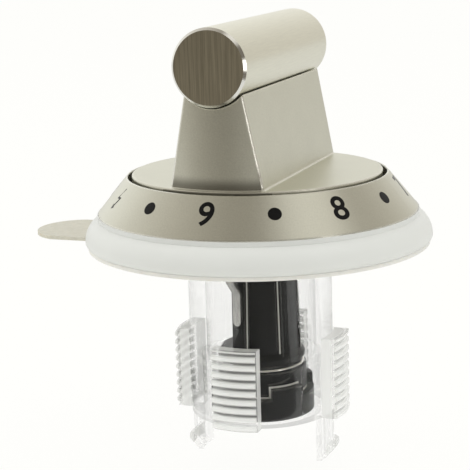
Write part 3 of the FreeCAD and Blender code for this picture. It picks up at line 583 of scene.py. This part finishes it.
def make_floor():
    """Sweep that lies under and behind the part, and ends a little way in front of it."""
    mesh = bpy.data.meshes.new("floor")
    side = FLOOR_REACH
    corners = [(-side, -FLOOR_FRONT, 0), (side, -FLOOR_FRONT, 0), (side, side, 0), (-side, side, 0)]
    turn = Matrix.Rotation(math.radians(CAMERA_AZIMUTH), 4, "Z")
    lift = Vector((0, 0, FLOOR_HEIGHT))
    mesh.from_pydata([turn @ Vector(corner) + lift for corner in corners], [], [(0, 1, 2, 3)])
    mesh.materials.append(floor_material())
    floor = add_object("floor", mesh)


def lean_towards(tree, azimuth, elevation):
    """How far the look leans towards a point of the sky, from minus one to one."""
    place = tree.nodes.new("ShaderNodeTexCoord")
    lean = tree.nodes.new("ShaderNodeVectorMath")
    lean.operation = "DOT_PRODUCT"
    lean.inputs[1].default_value = direction(CAMERA_AZIMUTH + azimuth, elevation)
    tree.links.new(place.outputs["Generated"], lean.inputs[0])
    return lean.outputs["Value"]


def sky_gradient(tree):
    """Colour that climbs from warm shade over the camera to white behind the part."""
    lean = lean_towards(tree, BRIGHT_AZIMUTH, 0.0)
    ramp = tree.nodes.new("ShaderNodeValToRGB")
    ramp.color_ramp.interpolation = "B_SPLINE"
    while len(ramp.color_ramp.elements) < len(SKY_STOPS):
        ramp.color_ramp.elements.new(0.5)
    for element, (place, level) in zip(ramp.color_ramp.elements, SKY_STOPS):
        element.position = (place + 1) / 2
        tint = [shade + (white - shade) * level
                for shade, white in zip(SHADE_COLOUR, BACKDROP_COLOUR)]
        element.color = (*[level * part for part in tint], 1)
    half = calculate(tree, "MULTIPLY", lean, 0.5)
    tree.links.new(calculate(tree, "ADD", half, 0.5), ramp.inputs["Fac"])
    return ramp.outputs["Color"]


def sky_glow(tree, azimuth, elevation, reach, strength):
    """Soft round glow about a point of the sky, out to the reach in degrees."""
    rim = math.cos(math.radians(reach))
    core = math.cos(math.radians(reach * GLOW_CORE_SHARE))
    return smooth_range(tree, lean_towards(tree, azimuth, elevation), rim, core, 0.0, strength)


def all_glows(tree):
    """Strength of all the glows together."""
    total = sky_glow(tree, *SKY_GLOWS[0])
    for glow in SKY_GLOWS[1:]:
        total = calculate(tree, "ADD", total, sky_glow(tree, *glow))
    return total


def background(tree, colour, strength=1.0):
    """Shader for the world, whose colour and strength are numbers or outputs."""
    node = tree.nodes.new("ShaderNodeBackground")
    for socket, value in (("Color", colour), ("Strength", strength)):
        if isinstance(value, bpy.types.NodeSocket):
            tree.links.new(value, node.inputs[socket])
        else:
            node.inputs[socket].default_value = value
    return node.outputs[0]


def make_world():
    """White backdrop all round, and a shaded studio for mirror reflections."""
    world = bpy.data.worlds.new("studio")
    world.use_nodes = True
    bpy.context.scene.world = world
    tree = world.node_tree
    tree.nodes.remove(tree.nodes["Background"])
    white = (*BACKDROP_COLOUR, 1)
    studio = tree.nodes.new("ShaderNodeAddShader")
    tree.links.new(background(tree, sky_gradient(tree)), studio.inputs[0])
    tree.links.new(background(tree, white, all_glows(tree)), studio.inputs[1])
    straight = mixed_shader(tree, light_path(tree, "Is Camera Ray", "Is Transmission Ray"),
                            background(tree, white, AMBIENT_LEVEL), background(tree, white))
    mix = mixed_shader(tree, light_path(tree, "Is Glossy Ray"), straight, studio.outputs[0])
    tree.links.new(mix, tree.nodes["World Output"].inputs["Surface"])


def area_light(name, azimuth, elevation, distance, size, power):
    """Soft square lamp that faces the part. Its mirror image comes from the world."""
    data = bpy.data.lights.new(name, "AREA")
    data.shape = "SQUARE"
    data.size = size
    data.energy = power
    lamp = add_object(name, data)
    way = direction(azimuth, elevation)
    lamp.location = way * distance
    lamp.rotation_mode = "QUATERNION"
    lamp.rotation_quaternion = way.to_track_quat("Z", "Y")
    lamp.visible_glossy = False


def flat_text(character, height):
    """Text as a flat solid, centred on zero and scaled to the height."""
    curve = bpy.data.curves.new("mark", "FONT")
    curve.body = character
    curve.align_x = "CENTER"
    curve.extrude = LETTER_DEPTH
    curve.offset = LETTER_BOLDNESS
    holder = add_object("mark", curve)
    bpy.context.view_layer.update()
    mesh = bpy.data.meshes.new_from_object(holder.evaluated_get(
        bpy.context.evaluated_depsgraph_get()))
    bpy.data.objects.remove(holder)
    shape = bmesh.new()
    shape.from_mesh(mesh)
    bmesh.ops.remove_doubles(shape, verts=shape.verts, dist=LETTER_WELD)
    lows = [min(v.co[k] for v in shape.verts) for k in range(3)]
    highs = [max(v.co[k] for v in shape.verts) for k in range(3)]
    scale = height / (highs[1] - lows[1])
    for vertex in shape.verts:
        for k in (0, 1):
            vertex.co[k] = (vertex.co[k] - (lows[k] + highs[k]) / 2) * scale
        vertex.co[2] = (vertex.co[2] - lows[2]) / (highs[2] - lows[2]) - 1
    return shape


def flat_outline(points):
    """Closed outline as a flat solid, from one unit below zero up to zero."""
    shape = bmesh.new()
    low = [shape.verts.new((x, y, -1)) for x, y in points]
    face = shape.faces.new(low)
    grown = bmesh.ops.extrude_face_region(shape, geom=[face])
    for item in grown["geom"]:
        if isinstance(item, bmesh.types.BMVert):
            item.co.z = 0
    bmesh.ops.recalc_face_normals(shape, faces=shape.faces)
    return shape


def dot_outline():
    """Round dot, as a polygon."""
    radius = DOT_DIAMETER / 2
    turns = [2 * math.pi * k / DOT_SIDES for k in range(DOT_SIDES)]
    return [(radius * math.cos(turn), radius * math.sin(turn)) for turn in turns]


def bolt_outline():
    """Zigzag with an arrow tip, for the lighting position, drawn in millimetres."""
    right = [(0.62, 2.25), (-0.95, -0.1), (0.25, -0.1), (-0.42, -1.55), (-0.78, -1.32), (-0.62, -2.4)]
    left = [(0.28, -1.95), (-0.1, -1.68), (0.82, 0.32), (-0.35, 0.32), (0.3, 2.25)]
    return [(x * MM, y * MM) for x, y in right[::-1] + left[::-1]]


def bent_onto_cone(shape, azimuth, middle, slope):
    """Cuts the flat mark into narrow strips and lays them round the cone."""
    cuts = int(max(abs(v.co.x) for v in shape.verts) / MARK_STRIP)
    for k in range(-cuts, cuts + 1):
        bmesh.ops.bisect_plane(shape, geom=shape.verts[:] + shape.edges[:] + shape.faces[:],
                               plane_co=(k * MARK_STRIP, 0, 0), plane_no=(1, 0, 0))
    radius, height = middle
    up = Vector((-slope[0], slope[1]))
    out = Vector((slope[1], slope[0]))
    for vertex in shape.verts:
        depth = MARK_LIFT if vertex.co.z > -0.5 else -MARK_SINK
        ring = radius + up[0] * vertex.co.y + out[0] * depth
        angle = azimuth + vertex.co.x / radius
        vertex.co = Vector((ring * math.sin(angle), -ring * math.cos(angle),
                            height + up[1] * vertex.co.y + out[1] * depth))


def scale_marks():
    """Printed dial: nought, a bolt, and the numbers nine to one with dots between the first."""
    low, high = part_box("scale_ring")
    foot = high.x
    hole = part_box("knob_body")[1].x + KNOB_GAP
    ring_foot, ring_top = low.z, low.z + SCALE_RING_HEIGHT
    run, rise = foot - hole, ring_top - ring_foot
    length = math.hypot(run, rise)
    slope = (run / length, rise / length)
    middle = (hole + run * MARK_SHARE, ring_top - rise * MARK_SHARE)
    whole = bmesh.new()
    for position, kind in enumerate(MARKS, FIRST_MARK):
        if kind == "dot":
            shape = flat_outline(dot_outline())
        elif kind == "bolt":
            shape = flat_outline(bolt_outline())
        else:
            shape = flat_text(kind, MARK_HEIGHT)
        bent_onto_cone(shape, 2 * math.pi * position / len(MARKS), middle, slope)
        part = bpy.data.meshes.new("mark")
        shape.to_mesh(part)
        whole.from_mesh(part)
        shape.free()
    mesh = bpy.data.meshes.new("scale_marks")
    whole.to_mesh(mesh)
    whole.free()
    mesh.materials.append(print_ink())
    piece = add_object("scale_marks", mesh)
    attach(piece, "housing")


def spring_coil(material):
    """Round wire wound between the seat washer and the slip washer, with closed ends."""
    low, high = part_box("return_spring")
    wire = SPRING_WIRE / 2
    radius = SPRING_DIAMETER / 2
    steps = int(SPRING_TURNS * STEPS_PER_TURN)
    bottom, top = low.z + wire, high.z - wire
    rings = []
    shape = bmesh.new()
    for k in range(steps + 1):
        share = k / steps
        angle = 2 * math.pi * SPRING_TURNS * share
        climb = (share - SPRING_CLOSED_SHARE) / (1 - 2 * SPRING_CLOSED_SHARE)
        height = bottom + (top - bottom) * min(1, max(0, climb))
        ring = []
        for m in range(WIRE_SIDES):
            turn = 2 * math.pi * m / WIRE_SIDES
            reach = radius + wire * math.cos(turn)
            ring.append(shape.verts.new((reach * math.cos(angle), reach * math.sin(angle),
                                         height + wire * math.sin(turn))))
        rings.append(ring)
    for first, second in zip(rings, rings[1:]):
        for m in range(WIRE_SIDES):
            n = (m + 1) % WIRE_SIDES
            shape.faces.new((first[m], second[m], second[n], first[n]))
    shape.faces.new(rings[0])
    shape.faces.new(rings[-1][::-1])
    bmesh.ops.recalc_face_normals(shape, faces=shape.faces)
    mesh = bpy.data.meshes.new("return_coil")
    shape.to_mesh(mesh)
    shape.free()
    mesh.shade_smooth()
    mesh.materials.append(material)
    piece = add_object("return_coil", mesh)
    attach(piece, "housing")
    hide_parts("return_spring")
    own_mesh(piece)


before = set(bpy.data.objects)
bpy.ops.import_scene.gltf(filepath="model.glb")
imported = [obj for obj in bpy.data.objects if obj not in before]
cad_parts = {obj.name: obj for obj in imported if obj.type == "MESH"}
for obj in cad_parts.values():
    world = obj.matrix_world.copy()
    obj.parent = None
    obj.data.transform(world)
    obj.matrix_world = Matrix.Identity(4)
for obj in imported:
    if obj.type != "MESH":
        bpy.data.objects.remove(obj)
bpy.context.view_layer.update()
bpy.context.scene.view_settings.view_transform = "Standard"
finishes = dress(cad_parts)
spring_coil(finishes["return_spring"])
scale_marks()
make_camera()
make_floor()
make_world()
for lamp_name, settings in LAMPS.items():
    area_light(lamp_name, *settings)
